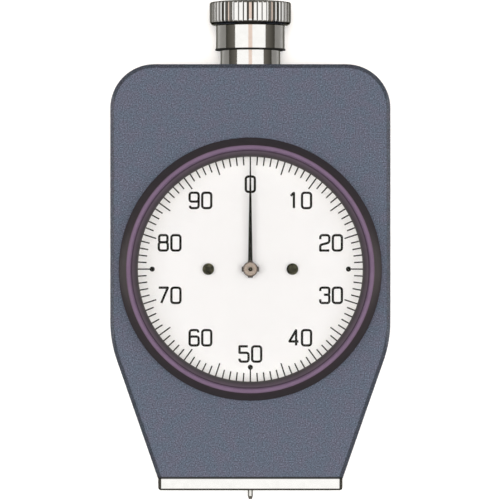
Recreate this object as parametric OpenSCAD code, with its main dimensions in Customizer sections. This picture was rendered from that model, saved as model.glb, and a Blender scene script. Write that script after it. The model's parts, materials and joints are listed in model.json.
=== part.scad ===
// Dial durometer: a hand-held hardness gauge. A sprung indenter under the foot drives a rack, a gear train and
// a pointer that makes one turn over its full travel.
// It lies on its back: +Z points out of the dial and +Y towards the knob. The origin is where the dial axis
// meets the back face. All sizes are in millimetres.

/* [Case] */
// Width of the case across its straight sides
case_w = 66.7; // [62:0.1:76]
// Height from the dial axis up to the top face
case_top = 48.8; // [46:0.1:56]
// Height from the dial axis down to the seat of the foot
case_bottom = 49.8; // [48:0.1:58]
// Depth from the back face to the front face
case_depth = 24; // [23:0.5:30]
// Height from the dial axis down to where the sides start to taper
knee_drop = 17.2; // [12:0.1:22]
// Radius of the two top corners
corner_r = 10.5; // [6:0.5:14]
// Radius of the bend where the sides start to taper
knee_r = 28; // [10:1:40]
// Width of the bevel round the front and back edges
edge_bevel = 1; // [0.4:0.1:1.6]
// Width of the bevel along the bottom edges, over the foot
toe_bevel = 0.4; // [0.1:0.1:0.6]
// Thickness of the side walls
wall = 3.6; // [3:0.1:4.6]
// Thickness of the front wall
front_wall = 4; // [3:0.1:5]
// Diameter of the posts that take the cover's screws
post_d = 6.4; // [5.4:0.2:7.4]

/* [Rear cover] */
// Thickness of the rear cover
cover_t = 2; // [1.6:0.1:2.6]
// Width of the case's rim round the cover
cover_rim = 2; // [1.4:0.1:2.4]

/* [Foot and indenter] */
// Width of the presser foot, and of the case where it meets it
foot_w = 44; // [38:0.5:50]
// Depth of the presser foot
foot_depth = 18; // [16:0.5:20]
// Thickness of the presser foot
foot_t = 3; // [2.6:0.1:4]
// Diameter of the hole round the indenter
foot_hole_d = 3; // [2.5:0.1:4]
// Radius of the foot's two lower corners
foot_corner_r = 0.7; // [0.3:0.1:1.2]
// Width of the bevels down the foot's four upright edges
foot_end_bevel = 0.75; // [0.2:0.05:0.8]
// Width of the bevels along the foot's lower edges
foot_low_bevel = 0.4; // [0.1:0.05:0.5]
// Angle between the foot's front face and its bevels
foot_bevel_angle = 40; // [30:1:50]
// Spacing of the two foot screws
foot_screw_spacing = 30; // [24:1:33]
// Diameter of the indenter's shank
indenter_d = 1.27; // [1.2:0.01:1.5]
// Diameter of the indenter's flat tip
indenter_tip_d = 0.79; // [0.5:0.01:1]
// Full angle of the indenter's cone
indenter_cone = 35; // [25:1:45]
// Travel of the indenter over the full scale
travel = 2.54; // [2:0.01:3]

/* [Spindle and load spring] */
// Diameter of the spindle
spindle_d = 4.5; // [4.2:0.1:5]
// Outer diameter of the two spindle bushes
bush_d = 7; // [6.4:0.1:8]
// Length of the upper bush and of its lug
upper_bush_l = 6; // [4:0.5:8]
// Length of the lower bush
lower_bush_l = 9.5; // [7:0.5:11]
// Outer diameter of the spring collar on the spindle
collar_d = 8.2; // [7.8:0.1:9]
// Thickness of the spring collar
collar_t = 2; // [1.4:0.1:3]
// Wire diameter of the load spring
spring_wire_d = 0.9; // [0.7:0.05:1]
// Mean coil diameter of the load spring
spring_coil_d = 7; // [6.6:0.1:7.2]
// Turns of the load spring
spring_turns = 8; // [6:1:9]
// Diameter of the pin that stops the spindle turning
guide_pin_d = 1.5; // [1.2:0.1:2]

/* [Gear train] */
// Pitch of the rack's teeth
rack_pitch = 0.635; // [0.6:0.005:0.7]
// Height of the rack's pitch line over the spindle axis
rack_height = 1.5; // [1.4:0.05:1.6]
// Teeth of the pinion that runs on the rack
drive_pinion_teeth = 16; // [14:1:20]
// Teeth of the drive gear and of the take-up gear
gear_teeth = 64; // [56:4:72]
// Teeth of the centre pinion
centre_teeth = 16; // [14:1:20]
// Module of the gears and of the centre pinion
gear_module = 0.2; // [0.19:0.005:0.22]
// Thickness of the gears
gear_t = 1; // [0.8:0.1:1.2]
// Direction of the take-up gear from the dial axis
take_up_angle = 45; // [35:1:55]
// Thickness of the hairspring's strip
hairspring_t = 0.15; // [0.12:0.01:0.2]
// Turns of the hairspring
hairspring_turns = 3; // [2:0.5:4]

/* [Movement plates] */
// Thickness of the front plate
plate_t = 2; // [1.6:0.1:2.4]
// Thickness of the centre bridge
centre_bridge_t = 1; // [0.9:0.1:1.4]
// Thickness of the rear bridge
rear_bridge_t = 1.5; // [1.2:0.1:1.8]
// Width of the bridges' arms
arm_w = 4.2; // [3.6:0.2:5]
// Diameter of the pillars
pillar_d = 3.5; // [3:0.1:4]
// Width of the ledge that the front plate sits on
ledge_w = 3.3; // [3:0.1:4]

/* [Dial and pointer] */
// Thickness of the dial plate
dial_t = 0.6; // [0.4:0.1:1]
// Height of the posts between the front plate and the dial plate
dial_post_h = 0.9; // [0.6:0.1:1.4]
// Spacing of the two dial screws
dial_screw_spacing = 20; // [17:0.5:24]
// Diameter of the dial screws' heads
dial_screw_d = 2.75; // [2.6:0.05:3.2]
// Width of the dial's division lines
tick_w = 0.3; // [0.1:0.02:0.36]
// Length of the single division lines inside the window
tick_short = 1.9; // [1:0.1:2.4]
// Length of the fifth division lines inside the window
tick_long = 3.1; // [2.6:0.1:4]
// Diameter of the dots at each quarter of the scale
quarter_dot_d = 1.2; // [0.8:0.1:1.6]
// Width of the pointer at its hub
pointer_w = 1.1; // [0.5:0.05:1.2]
// Width of the pointer at its tip
pointer_tip_w = 0.26; // [0.15:0.01:0.4]
// Thickness of the pointer
pointer_t = 0.3; // [0.2:0.05:0.5]
// Span of the pointer's cross-shaped eye
pointer_eye_d = 4.1; // [3.8:0.1:5]
// Width of the arms of the pointer's eye
pointer_eye_w = 1.2; // [1.2:0.1:2.2]
// Diameter of the hub's face
hub_d = 3.55; // [3:0.05:4]

/* [Bezel and crystal] */
// Margin between the bezel and the case's sides
bezel_margin = 2.1; // [1.6:0.1:3]
// Width of the bezel's outer slope, from its edge to its crown
bezel_slope_w = 1.8; // [1.4:0.1:2.2]
// Width of the bezel's crown
bezel_crown_w = 1.1; // [0.8:0.1:1.6]
// Width of the bezel's inner slope, from its crown to the window
bezel_lip_w = 1.7; // [1.3:0.1:2]
// Height of the bezel's straight edge above the case
bezel_edge_h = 0.9; // [0.5:0.1:1.5]
// Room between the dial and the crystal
dial_room = 4.2; // [3.6:0.1:6]
// Thickness of the crystal's rim
crystal_t = 1.6; // [1.2:0.1:2]
// Height of the crystal's dome
crystal_dome = 0.7; // [0.4:0.1:1]

/* [Stem and knob] */
// Diameter of the stem's collar
stem_d = 14.4; // [13.6:0.1:15.4]
// Height of the stem's collar above the case
stem_h = 3.7; // [2:0.1:6]
// Diameter of the stem's threaded ends
stem_thread_d = 11; // [10.4:0.1:12]
// Length of the stem's upper thread, inside the knob
stem_thread_l = 8; // [7:0.1:8.5]
// Bore of the stem, round the load spring
stem_bore_d = 8.6; // [8.4:0.1:9]
// Diameter of the knob's skirt
skirt_d = 16.5; // [15.6:0.1:18]
// Length of the knob's skirt
skirt_h = 5.5; // [4:0.1:8]
// Diameter of the knob's knurled head
knob_d = 19.6; // [18.4:0.1:20.6]
// Height of the knob's knurled head
knob_h = 5.7; // [4.6:0.1:8]
// Radius of the rounding under the knob's head
knob_round = 1.3; // [0.6:0.1:1.5]
// Height of the dome on the knob's head
knob_dome = 0.5; // [0.4:0.1:2.4]
// Rounding of the knob's upper edge
knob_edge = 0.5; // [0.2:0.1:0.8]
// Number of ridges round the knob's head
knurl_ridges = 52; // [40:2:60]
// Share of each ridge that is flat on top
knurl_flat = 0.55; // [0.5:0.05:0.7]
// Depth of the grooves between the ridges
knurl_depth = 0.18; // [0.14:0.01:0.3]
// Thickness of the washer under the knob
washer_t = 0.4; // [0.3:0.1:0.8]
// Step from the knob's skirt out to the edge of the washer
washer_step = 0.2; // [0.1:0.05:0.4]

/* [Hidden] */
$fn = 96;
cut = 1; // how far a cutting shape runs past the face that it opens

// Clearances
run_gap = 0.03;   // radial, where one piece turns or slides in another
press_gap = 0.01; // radial, where one piece is fixed in another
fit_gap = 0.15;   // round covers and plates that drop into a recess
shake = 0.1;      // end play of an arbor between its bearings

// Colours
paint = "#686d7b";
black = "#2a2628";
chrome = "#c9c7c2";
steel = "#b9babb";
brass = "#b8974e";

// Depth stack, from the spindle's plane in the middle of the case out to the crystal
axis_z = case_depth / 2;
bridge_gap = 0.35;
centre_bridge_z = axis_z + spindle_d / 2 + bridge_gap;
spring_room = 1;
gear_z = centre_bridge_z + centre_bridge_t + spring_room;
gear_gap = 0.9;
plate_z = gear_z + gear_t + gear_gap;
plate_top = plate_z + plate_t;
dial_z = plate_top + dial_post_h;
dial_top = dial_z + dial_t;
rear_bridge_gap = 2.25;
rear_bridge_top = axis_z - spindle_d / 2 - rear_bridge_gap;
rear_bridge_z = rear_bridge_top - rear_bridge_t;
crystal_z = dial_top + dial_room;
crystal_top = crystal_z + crystal_t;

// Bezel, dial well and ledge
bezel_d = case_w - 2 * bezel_margin;
bezel_flange_w = 1.85;
well_r = bezel_d / 2 - bezel_flange_w;
crown_r = bezel_d / 2 - bezel_slope_w;
window_r = crown_r - bezel_crown_w - bezel_lip_w;
crown_z = crystal_top + bezel_lip_w;
crystal_r = window_r + 0.75;
ledge_t = 2.5;
ledge_r = well_r - ledge_w;
well_wall = 2.5;

// Spindle line, along Y
lug_rise = 4.7;                 // from the dial well up to the seat of the spring collar
lug_top = well_r + lug_rise;
collar_top = lug_top + collar_t;
indenter_grip = 6;
spindle_end = -case_bottom + 1.3;
thread_in_case = 7.5;
boss_wall = 3.5;
boss_l = 4.8;
adjuster_l = 4;
adjuster_y = case_top + 2.2;
spindle_pin_d = 4;
spindle_pin_l = 8;
spindle_pin_top = collar_top + spindle_pin_l;
lower_boss_d = bush_d + 4;
knob_y = case_top + stem_h + washer_t;
knob_head_y = knob_y + skirt_h;
thread_gap = 0.1;

// Guide slot beside the spindle, below the dial well
guide_drop = 6.3;
guide_y = -(well_r + guide_drop);
guide_step = 0.6;
guide_x = lower_boss_d / 2 + guide_step;
guide_lug_w = 4;
guide_play = 0.15;

// Gear train: the drive arbor stands beside the rack and one centre distance from the dial axis
pressure_angle = 20;
tooth_play = 0.04;
rack_module = rack_pitch / PI;
drive_pinion_r = rack_module * drive_pinion_teeth / 2;
gear_r = gear_module * gear_teeth / 2;
centre_r = gear_module * centre_teeth / 2;
centre_distance = gear_r + centre_r;
drive_x = -(rack_height + drive_pinion_r);
drive_y = -sqrt(pow(centre_distance, 2) - pow(drive_x, 2));
drive_at = [drive_x, drive_y];
drive_angle = atan2(drive_y, drive_x);
take_up_at = centre_distance * [cos(take_up_angle), sin(take_up_angle)];
rack_teeth_above = 4;
rack_teeth_below = ceil(travel / rack_pitch) + 4;
drive_pinion_l = 3.6;

// Pillars stand on one ring, outside the reach of both gears
pillar_gap = 0.6;
pillar_ring = centre_distance + gear_r + gear_module + pillar_d / 2 + pillar_gap;
centre_pillar_angles = [take_up_angle, 165, 325];
rear_pillar_angles = [200, 290];
arm_eye_d = arm_w + 1.2;
pillar_screw_d = 1.6;
pillar_screw_head_d = 2.8;
pillar_screw_head_h = 0.6;
pillar_screw_l = 2.2;

// Pivots and arbors
pivot_r = 0.4;
pivot_l = 0.8;
drive_pivot_r = 0.5;
arbor_r = 0.7;
drive_shaft_r = 0.9;
centre_journal_r = 0.75;
pointer_seat_r = 0.4;

// Pointer
pointer_gap = 1.4;
pointer_z = dial_top + pointer_gap;
hub_collar_h = 0.6;
hub_face_h = 0.7;
hub_collar_r = 1.4;
hub_neck_r = 0.95;
pointer_reach = window_r - 1.1;
tick_overrun = 0.3;
ink_t = 0.06;
hub_hole_r = 1.5;

// Hairspring, between the centre bridge and the take-up gear
hairspring_z = centre_bridge_z + centre_bridge_t + 0.25;
hairspring_h = 0.5;
collet_r = 1.4;
hairspring_inner_r = collet_r + hairspring_t / 2 + press_gap;
hairspring_outer_r = 4.6;
stud_r = 0.45;
stud_at = take_up_at + (hairspring_outer_r + hairspring_t / 2 + stud_r + press_gap)
    * [cos(take_up_angle), sin(take_up_angle)];

// Screws
cover_screw_d = 2.5;
cover_screw_head_d = 4.8;
cover_screw_l = 9;
plate_screw_d = 2;
plate_screw_head_d = 2.9;
plate_screw_head_h = 1;
plate_screw_ring = well_r - ledge_w / 2;
plate_screw_angles = [30, 150, 270];
dial_screw_shank_d = 1.9;
dial_screw_head_h = 0.7;
dial_post_d = 3.8;
foot_screw_d = 3;
foot_screw_head_d = 6;
foot_screw_l = 9;
foot_boss_d = 7;
slot_w = 0.5;

// Outline of the case, with its edges moved inwards by inset
taper = atan((case_w / 2 - foot_w / 2) / (case_bottom - knee_drop));

function unit(v) = v / norm(v);
function polar(r, a) = r * [cos(a), sin(a)];

// Points of the arc of radius r that rounds the corner at b, between the corners a and c
function corner_arc(a, b, c, r, steps) =
    let (
        u = unit(a - b),
        v = unit(c - b),
        half = acos(u * v) / 2,
        centre = b + unit(u + v) * r / sin(half),
        start = b + u * r / tan(half) - centre,
        stop = b + v * r / tan(half) - centre,
        first = atan2(start[1], start[0]),
        turn = (atan2(stop[1], stop[0]) - first + 540) % 360 - 180
    )
    [for (i = [0:steps]) centre + polar(r, first + turn * i / steps)];

// The right half of the outline, from the top middle round to the bottom middle, which moves up by rise
function half_outline(inset, rise) =
    let (
        side = case_w / 2 - inset,
        top = case_top - inset,
        bottom = rise - case_bottom,
        knee = [side, inset * tan(taper / 2) - knee_drop],
        toe = [knee[0] - (knee[1] - bottom) * tan(taper), bottom]
    )
    concat(
        [[0, top]],
        corner_arc([0, top], [side, top], knee, corner_r - inset, 16),
        corner_arc([side, top], knee, toe, knee_r, 8),
        [toe, [0, bottom]]
    );

function case_outline(inset, rise) =
    let (right = half_outline(inset, rise), last = len(right) - 1)
    concat(right, [for (i = [last - 1:-1:1]) [-right[i][0], right[i][1]]]);

module case_prism(inset, from, to, rise = undef)
    translate([0, 0, from]) linear_extrude(to - from)
        polygon(case_outline(inset, is_undef(rise) ? inset : rise));

// A cylinder along +Y in the spindle's plane
module along_y(d, from, to, x = 0)
    translate([x, from, axis_z]) rotate([-90, 0, 0]) cylinder(h = to - from, d = d);

// A turned piece along +Y in the spindle's plane, from a profile of [radius, y]
module turned_along_y(profile)
    translate([0, 0, axis_z]) rotate([-90, 0, 0]) rotate_extrude() polygon(profile);

module disc(at, d, from, to)
    translate([at[0], at[1], from]) cylinder(h = to - from, d = d);

// A turned piece along +Z at a point, from a profile of [radius, z]
module turned(at, profile)
    translate([at[0], at[1], 0]) rotate_extrude() polygon(profile);

// Flat arms from one point to a list of others, with a round eye at each end
module arms(from, ends, z, t)
    translate([0, 0, z]) linear_extrude(t) {
        translate(from) circle(d = arm_eye_d);
        for (to = ends) {
            run = to - from;
            translate(to) circle(d = arm_eye_d);
            translate(from) rotate(atan2(run[1], run[0])) translate([0, -arm_w / 2]) square([norm(run), arm_w]);
        }
    }

// Where the four cover screws go: two in the top corners, two beside the taper
cover_screw_inset = wall + post_d / 2 - 0.4;
cover_screw_rise = 14;          // of the lower two, from the seat of the foot
cover_screw_low_y = cover_screw_rise - case_bottom;
cover_screw_low_x = case_w / 2 - cover_screw_inset / cos(taper) + (cover_screw_low_y + knee_drop) * tan(taper);
cover_screw_spots = [
    for (side = [-1, 1])
        each [
            [side * (case_w / 2 - cover_screw_inset), case_top - cover_screw_inset],
            [side * cover_screw_low_x, cover_screw_low_y]
        ]
];

// A countersunk screw along +Z with its head's face at z = 0, and the hole that it needs
module countersunk(d, head_d, length) {
    cone = (head_d - d) / 2;
    difference() {
        union() {
            cylinder(h = cone, d1 = head_d, d2 = d);
            cylinder(h = length, d = d);
        }
        translate([-head_d, -slot_w / 2, -cut]) cube([2 * head_d, slot_w, cut + cone / 2]);
    }
}

module countersink(d, head_d, length) {
    cone = (head_d - d) / 2;
    cylinder(h = cone, d1 = head_d + 2 * press_gap, d2 = d + 2 * press_gap);
    translate([0, 0, -cut]) cylinder(h = cut + length, d = d + 2 * press_gap);
}

module case_walls() {
    difference() {
        hull() {
            case_prism(edge_bevel, 0, case_depth, toe_bevel);
            case_prism(0, edge_bevel, case_depth - edge_bevel);
        }
        case_prism(wall, cover_t, case_depth - front_wall);
        case_prism(cover_rim, -cut, cover_t);
    }
}

// Ring behind the front wall that carries the movement's front plate
module case_ledge()
    intersection() {
        disc([0, 0], 2 * (well_r + well_wall), plate_z - ledge_t, case_depth - front_wall + cut);
        case_prism(wall / 2, 0, case_depth - edge_bevel);
    }

module case_lugs() {
    inner_front = case_depth - front_wall / 2;
    // Boss for the stem
    along_y(stem_thread_d + 2 * boss_wall, case_top - wall - boss_l, case_top - wall / 2);
    // Lug for the upper bush
    translate([-lower_boss_d / 2, lug_top - upper_bush_l, axis_z - lower_boss_d / 2])
        cube([lower_boss_d, upper_bush_l, inner_front - axis_z + lower_boss_d / 2]);
    // Boss for the lower bush, with a web up to the front wall
    along_y(lower_boss_d, wall / 2 - case_bottom, lower_bush_l - case_bottom);
    translate([-lower_boss_d / 2, wall / 2 - case_bottom, axis_z])
        cube([lower_boss_d, lower_bush_l - wall / 2, inner_front - axis_z]);
    // Lug for the guide pin's slot
    translate([guide_x, guide_y - travel, axis_z - guide_pin_d - 1])
        cube([guide_lug_w, 2 * travel + guide_pin_d, inner_front - axis_z + guide_pin_d + 1]);
    // Bosses for the foot's screws
    for (side = [-1, 1])
        along_y(foot_boss_d, wall / 2 - case_bottom, foot_screw_l + 1 - foot_t - case_bottom,
                side * foot_screw_spacing / 2);
    // Posts for the cover's screws
    for (at = cover_screw_spots) disc(at, post_d, cover_t, inner_front);
}

module case() {
    color(paint) difference() {
        union() {
            case_walls();
            case_ledge();
            intersection() {
                case_lugs();
                case_prism(wall / 2, 0, case_depth - edge_bevel);
            }
        }
        // Dial well and the opening below its ledge
        disc([0, 0], 2 * well_r, plate_z, case_depth + cut);
        disc([0, 0], 2 * ledge_r, plate_z - ledge_t - cut, plate_z + cut);
        for (a = plate_screw_angles)
            disc(polar(plate_screw_ring, a), plate_screw_d + 2 * press_gap, plate_z - ledge_t - cut, plate_z + cut);
        // Stem thread
        along_y(stem_thread_d + 2 * press_gap, case_top - wall - boss_l - cut, case_top + cut);
        // Bush seats
        along_y(bush_d + 2 * press_gap, lug_top - upper_bush_l - cut, lug_top + cut);
        along_y(bush_d + 2 * press_gap, -case_bottom - cut, lower_bush_l - case_bottom + cut);
        // Guide slot
        translate([guide_x - cut, guide_y, axis_z]) rotate([0, 90, 0]) linear_extrude(guide_lug_w + 2 * cut) {
            for (y = [0, travel]) translate([0, y]) circle(d = guide_pin_d + 2 * guide_play);
            translate([-guide_pin_d / 2 - guide_play, 0]) square([guide_pin_d + 2 * guide_play, travel]);
        }
        // Screw holes
        for (side = [-1, 1])
            along_y(foot_screw_d + 2 * press_gap, -case_bottom - cut, foot_screw_l - foot_t - case_bottom,
                    side * foot_screw_spacing / 2);
        for (at = cover_screw_spots) disc(at, cover_screw_d + 2 * press_gap, cover_t - cut, cover_screw_l + cut);
    }
}

module rear_cover() {
    color(paint) difference() {
        case_prism(cover_rim + fit_gap, 0, cover_t);
        for (at = cover_screw_spots)
            translate([at[0], at[1], 0]) countersink(cover_screw_d, cover_screw_head_d, cover_t + cut);
    }
}

module rear_cover_screws() {
    color(black) for (at = cover_screw_spots)
        translate([at[0], at[1], 0]) countersunk(cover_screw_d, cover_screw_head_d, cover_screw_l);
}

module bezel() {
    edge_z = case_depth + bezel_edge_h;
    spigot_r = well_r - press_gap;
    bore_r = crystal_r + press_gap;
    round_r = bezel_crown_w / 2;
    crown_mid = crown_r - round_r;
    color(black) rotate_extrude() polygon(concat(
        [
            [bore_r, dial_top], [spigot_r, dial_top], [spigot_r, case_depth], [bezel_d / 2, case_depth],
            [bezel_d / 2, edge_z]
        ],
        [for (a = [0:15:180]) [crown_mid, crown_z - round_r] + polar(round_r, a)],
        [[window_r, crystal_top], [bore_r, crystal_top]]
    ));
}

// A flat rim under the bezel's lip with a shallow dome inside the window
module crystal() {
    dome_foot = window_r - fit_gap;
    dome_r = (pow(dome_foot, 2) + pow(crystal_dome, 2)) / (2 * crystal_dome);
    dome_half = asin(dome_foot / dome_r);
    color("#dfe8ec", 0.3) rotate_extrude() polygon(concat(
        [[0, crystal_z], [crystal_r, crystal_z], [crystal_r, crystal_top]],
        [for (i = [0:12]) [0, crystal_top + crystal_dome - dome_r] + polar(dome_r, 90 - dome_half * (1 - i / 12))]
    ));
}

// Ring that holds the crystal up against the bezel's lip
module crystal_ring() {
    ring_h = 0.8;
    color("#f7f5f1") difference() {
        disc([0, 0], 2 * crystal_r, crystal_z - ring_h, crystal_z);
        disc([0, 0], 2 * (window_r + fit_gap), crystal_z - ring_h - cut, crystal_z + cut);
    }
}

module dial_screw_spots()
    for (side = [-1, 1]) translate([side * dial_screw_spacing / 2, 0, 0]) children();

module dial_plate() {
    color("#f7f5f1") difference() {
        disc([0, 0], 2 * (well_r - fit_gap), dial_z, dial_top);
        disc([0, 0], 2 * hub_hole_r, dial_z - cut, dial_top + cut);
        dial_screw_spots() disc([0, 0], dial_screw_shank_d + fit_gap, dial_z - cut, dial_top + cut);
    }
}

// A hundred printed division lines, longer at each fifth, with a dot at each quarter after the zero
module dial_graduations() {
    dot_at = window_r - tick_long - quarter_dot_d / 6;
    color(black) translate([0, 0, dial_top]) for (i = [0:99]) rotate(-3.6 * i) {
        length = i % 5 == 0 || i % 25 == 0 ? tick_long : tick_short;
        linear_extrude(ink_t) translate([-tick_w / 2, window_r - length]) square([tick_w, length + tick_overrun]);
        if (i % 25 == 0 && i > 0) translate([0, dot_at, 0]) cylinder(h = ink_t, d = quarter_dot_d);
    }
}

module dial_posts() {
    color(brass) dial_screw_spots() difference() {
        disc([0, 0], dial_post_d, plate_top, dial_z);
        disc([0, 0], dial_screw_shank_d + 2 * press_gap, plate_top - cut, dial_z + cut);
    }
}

module dial_screws() {
    color(black) dial_screw_spots() difference() {
        union() {
            disc([0, 0], dial_screw_d, dial_top, dial_top + dial_screw_head_h);
            disc([0, 0], dial_screw_shank_d, plate_z + plate_t / 4, dial_top);
        }
        translate([-dial_screw_d, -slot_w / 2, dial_top + dial_screw_head_h / 2]) cube([2 * dial_screw_d, slot_w, cut]);
    }
}

module front_plate() {
    color(brass) difference() {
        disc([0, 0], 2 * (well_r - fit_gap), plate_z, plate_top);
        disc([0, 0], 2 * (centre_journal_r + run_gap), plate_z - cut, plate_top + cut);
        disc(drive_at, 2 * (drive_pivot_r + run_gap), plate_z - cut, plate_top + cut);
        disc(take_up_at, 2 * (pivot_r + run_gap), plate_z - cut, plate_top + cut);
        dial_screw_spots() disc([0, 0], dial_screw_shank_d + 2 * press_gap, plate_z - cut, plate_top + cut);
        for (a = plate_screw_angles) {
            disc(polar(plate_screw_ring, a), plate_screw_d + 2 * press_gap, plate_z - cut, plate_top + cut);
            disc(polar(plate_screw_ring, a), plate_screw_head_d + 2 * press_gap,
                 plate_top - plate_screw_head_h, plate_top + cut);
        }
    }
}

module front_plate_screws() {
    color(steel) for (a = plate_screw_angles) translate(polar(plate_screw_ring, a)) difference() {
        union() {
            disc([0, 0], plate_screw_head_d, plate_top - plate_screw_head_h, plate_top);
            disc([0, 0], plate_screw_d, plate_z - ledge_t, plate_top - plate_screw_head_h);
        }
        translate([-plate_screw_head_d, -slot_w / 2, plate_top - plate_screw_head_h / 2])
            cube([2 * plate_screw_head_d, slot_w, cut]);
    }
}

// Three arms from the dial axis to their pillars, with the rear pivots of the centre and take-up arbors
module centre_bridge() {
    top = centre_bridge_z + centre_bridge_t;
    color(brass) difference() {
        arms([0, 0], [for (a = centre_pillar_angles) polar(pillar_ring, a)], centre_bridge_z, centre_bridge_t);
        for (at = [[0, 0], take_up_at]) disc(at, 2 * (pivot_r + run_gap), centre_bridge_z - cut, top + cut);
        for (a = centre_pillar_angles)
            disc(polar(pillar_ring, a), pillar_screw_d + 2 * press_gap, centre_bridge_z - cut, top + cut);
    }
}

// Two arms from the drive arbor's rear pivot to their pillars
module rear_bridge() {
    color(brass) difference() {
        arms(drive_at, [for (a = rear_pillar_angles) polar(pillar_ring, a)], rear_bridge_z, rear_bridge_t);
        disc(drive_at, 2 * (drive_pivot_r + run_gap), rear_bridge_z - cut, rear_bridge_top + cut);
        for (a = rear_pillar_angles)
            disc(polar(pillar_ring, a), pillar_screw_d + 2 * press_gap, rear_bridge_z - cut, rear_bridge_top + cut);
    }
}

module pillars(angles, from) {
    color(brass) for (a = angles) difference() {
        disc(polar(pillar_ring, a), pillar_d, from, plate_z);
        disc(polar(pillar_ring, a), pillar_screw_d + 2 * press_gap, from - cut, from + pillar_screw_l);
    }
}

module centre_pillars() pillars(centre_pillar_angles, centre_bridge_z + centre_bridge_t);

module rear_pillars() pillars(rear_pillar_angles, rear_bridge_top);

// Cheese-head screws from behind, through a bridge into its pillars
module bridge_screw_set(angles, back, t) {
    for (a = angles) translate(polar(pillar_ring, a)) difference() {
        union() {
            disc([0, 0], pillar_screw_head_d, back - pillar_screw_head_h, back);
            disc([0, 0], pillar_screw_d, back - pillar_screw_head_h, back + t + pillar_screw_l - press_gap);
        }
        translate([-pillar_screw_head_d, -slot_w / 2, back - pillar_screw_head_h - cut])
            cube([2 * pillar_screw_head_d, slot_w, cut + pillar_screw_head_h / 2]);
    }
}

module bridge_screws() {
    color(steel) {
        bridge_screw_set(centre_pillar_angles, centre_bridge_z, centre_bridge_t);
        bridge_screw_set(rear_pillar_angles, rear_bridge_z, rear_bridge_t);
    }
}

module bush(from, to) {
    color(brass) difference() {
        along_y(bush_d, from, to);
        along_y(spindle_d + 2 * run_gap, from - cut, to + cut);
    }
}

module lower_bush() bush(-case_bottom, lower_bush_l - case_bottom);

module upper_bush() bush(lug_top - upper_bush_l, lug_top);

module stem() {
    bottom = case_top - thread_in_case;
    shoulder = case_top + stem_h;
    top = shoulder + stem_thread_l;
    bore = stem_bore_d / 2;
    thread = stem_thread_d / 2;
    color(chrome) turned_along_y([
        [bore, bottom], [thread, bottom], [thread, case_top], [stem_d / 2, case_top], [stem_d / 2, shoulder],
        [thread, shoulder], [thread, top], [bore, top]
    ]);
}

// Slotted plug in the stem that sets the load spring's preload
module load_adjuster() {
    top = adjuster_y + adjuster_l;
    plug_d = stem_bore_d - 2 * press_gap;
    color(steel) difference() {
        along_y(plug_d, adjuster_y, top);
        translate([-plug_d, top - adjuster_l / 3, axis_z - slot_w]) cube([2 * plug_d, adjuster_l, 2 * slot_w]);
    }
}

// Height of the coil after a number of turns, with one closed turn at each end
function coil_y(turn, from, to) =
    let (dead = spring_wire_d * 1.1, pitch = (to - from - 2 * dead) / (spring_turns - 2))
    turn < 1 ? from + dead * turn
        : turn > spring_turns - 1 ? to - dead * (spring_turns - turn)
        : from + dead + pitch * (turn - 1);

module load_spring() {
    sides = 8;
    steps = 20;
    count = spring_turns * steps;
    low = collar_top + spring_wire_d / 2 + press_gap;
    high = adjuster_y - spring_wire_d / 2 - press_gap;
    rings = [
        for (i = [0:count], j = [0:sides - 1])
            let (a = 360 * i / steps, s = 360 * j / sides, r = (spring_coil_d + spring_wire_d * cos(s)) / 2)
            [r * cos(a), coil_y(i / steps, low, high) + spring_wire_d / 2 * sin(s), axis_z - r * sin(a)]
    ];
    walls = [
        for (i = [0:count - 1], j = [0:sides - 1])
            let (k = (j + 1) % sides)
            [i * sides + j, i * sides + k, (i + 1) * sides + k, (i + 1) * sides + j]
    ];
    ends = [[for (j = [sides - 1:-1:0]) j], [for (j = [0:sides - 1]) count * sides + j]];
    color(steel) polyhedron(rings, concat(walls, ends));
}

// Block with rounded lower corners and bevelled edges: what its front, top and end outlines have in common
module foot_block() {
    side = foot_w / 2;
    deep = foot_depth / 2;
    end = foot_end_bevel;
    end_deep = deep - end * tan(foot_bevel_angle);
    low = foot_low_bevel;
    low_deep = deep - low * tan(foot_bevel_angle);
    corner = corner_arc([0, 0], [side, 0], [side, foot_t], foot_corner_r, 6);
    translate([0, -case_bottom - foot_t, axis_z]) intersection() {
        translate([0, 0, -deep]) linear_extrude(foot_depth) polygon(concat(
            corner, [[side, foot_t], [-side, foot_t]], [for (i = [6:-1:0]) [-corner[i][0], corner[i][1]]]
        ));
        rotate([-90, 0, 0]) linear_extrude(foot_t) polygon([
            [-side, -end_deep], [end - side, -deep], [side - end, -deep], [side, -end_deep],
            [side, end_deep], [side - end, deep], [end - side, deep], [-side, end_deep]
        ]);
        translate([-side, 0, 0]) rotate([90, 0, 90]) linear_extrude(foot_w) polygon([
            [0, -low_deep], [low, -deep], [foot_t, -deep], [foot_t, deep], [low, deep], [0, low_deep]
        ]);
    }
}

module foot() {
    color(chrome) difference() {
        foot_block();
        along_y(foot_hole_d, -case_bottom - foot_t - cut, cut - case_bottom);
        for (x = [-foot_screw_spacing, foot_screw_spacing] / 2)
            translate([x, -case_bottom - foot_t, axis_z]) rotate([-90, 0, 0])
                countersink(foot_screw_d, foot_screw_head_d, foot_t + cut);
    }
}

module foot_screws() {
    color(steel) for (side = [-1, 1])
        translate([side * foot_screw_spacing / 2, -case_bottom - foot_t, axis_z]) rotate([-90, 0, 0])
            countersunk(foot_screw_d, foot_screw_head_d, foot_screw_l);
}

// Gap between two of the rack's teeth, open towards -X, centred on y = 0
module rack_gap() {
    at_pitch = rack_pitch / 2 + tooth_play;
    tip = rack_module;
    root = 1.25 * rack_module;
    slope = tan(pressure_angle);
    translate([-rack_height, 0, axis_z - spindle_d]) linear_extrude(2 * spindle_d) polygon([
        [root, at_pitch / 2 - root * slope], [-tip - cut, at_pitch / 2 + (tip + cut) * slope],
        [-tip - cut, -at_pitch / 2 - (tip + cut) * slope], [root, root * slope - at_pitch / 2]
    ]);
}

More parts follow.
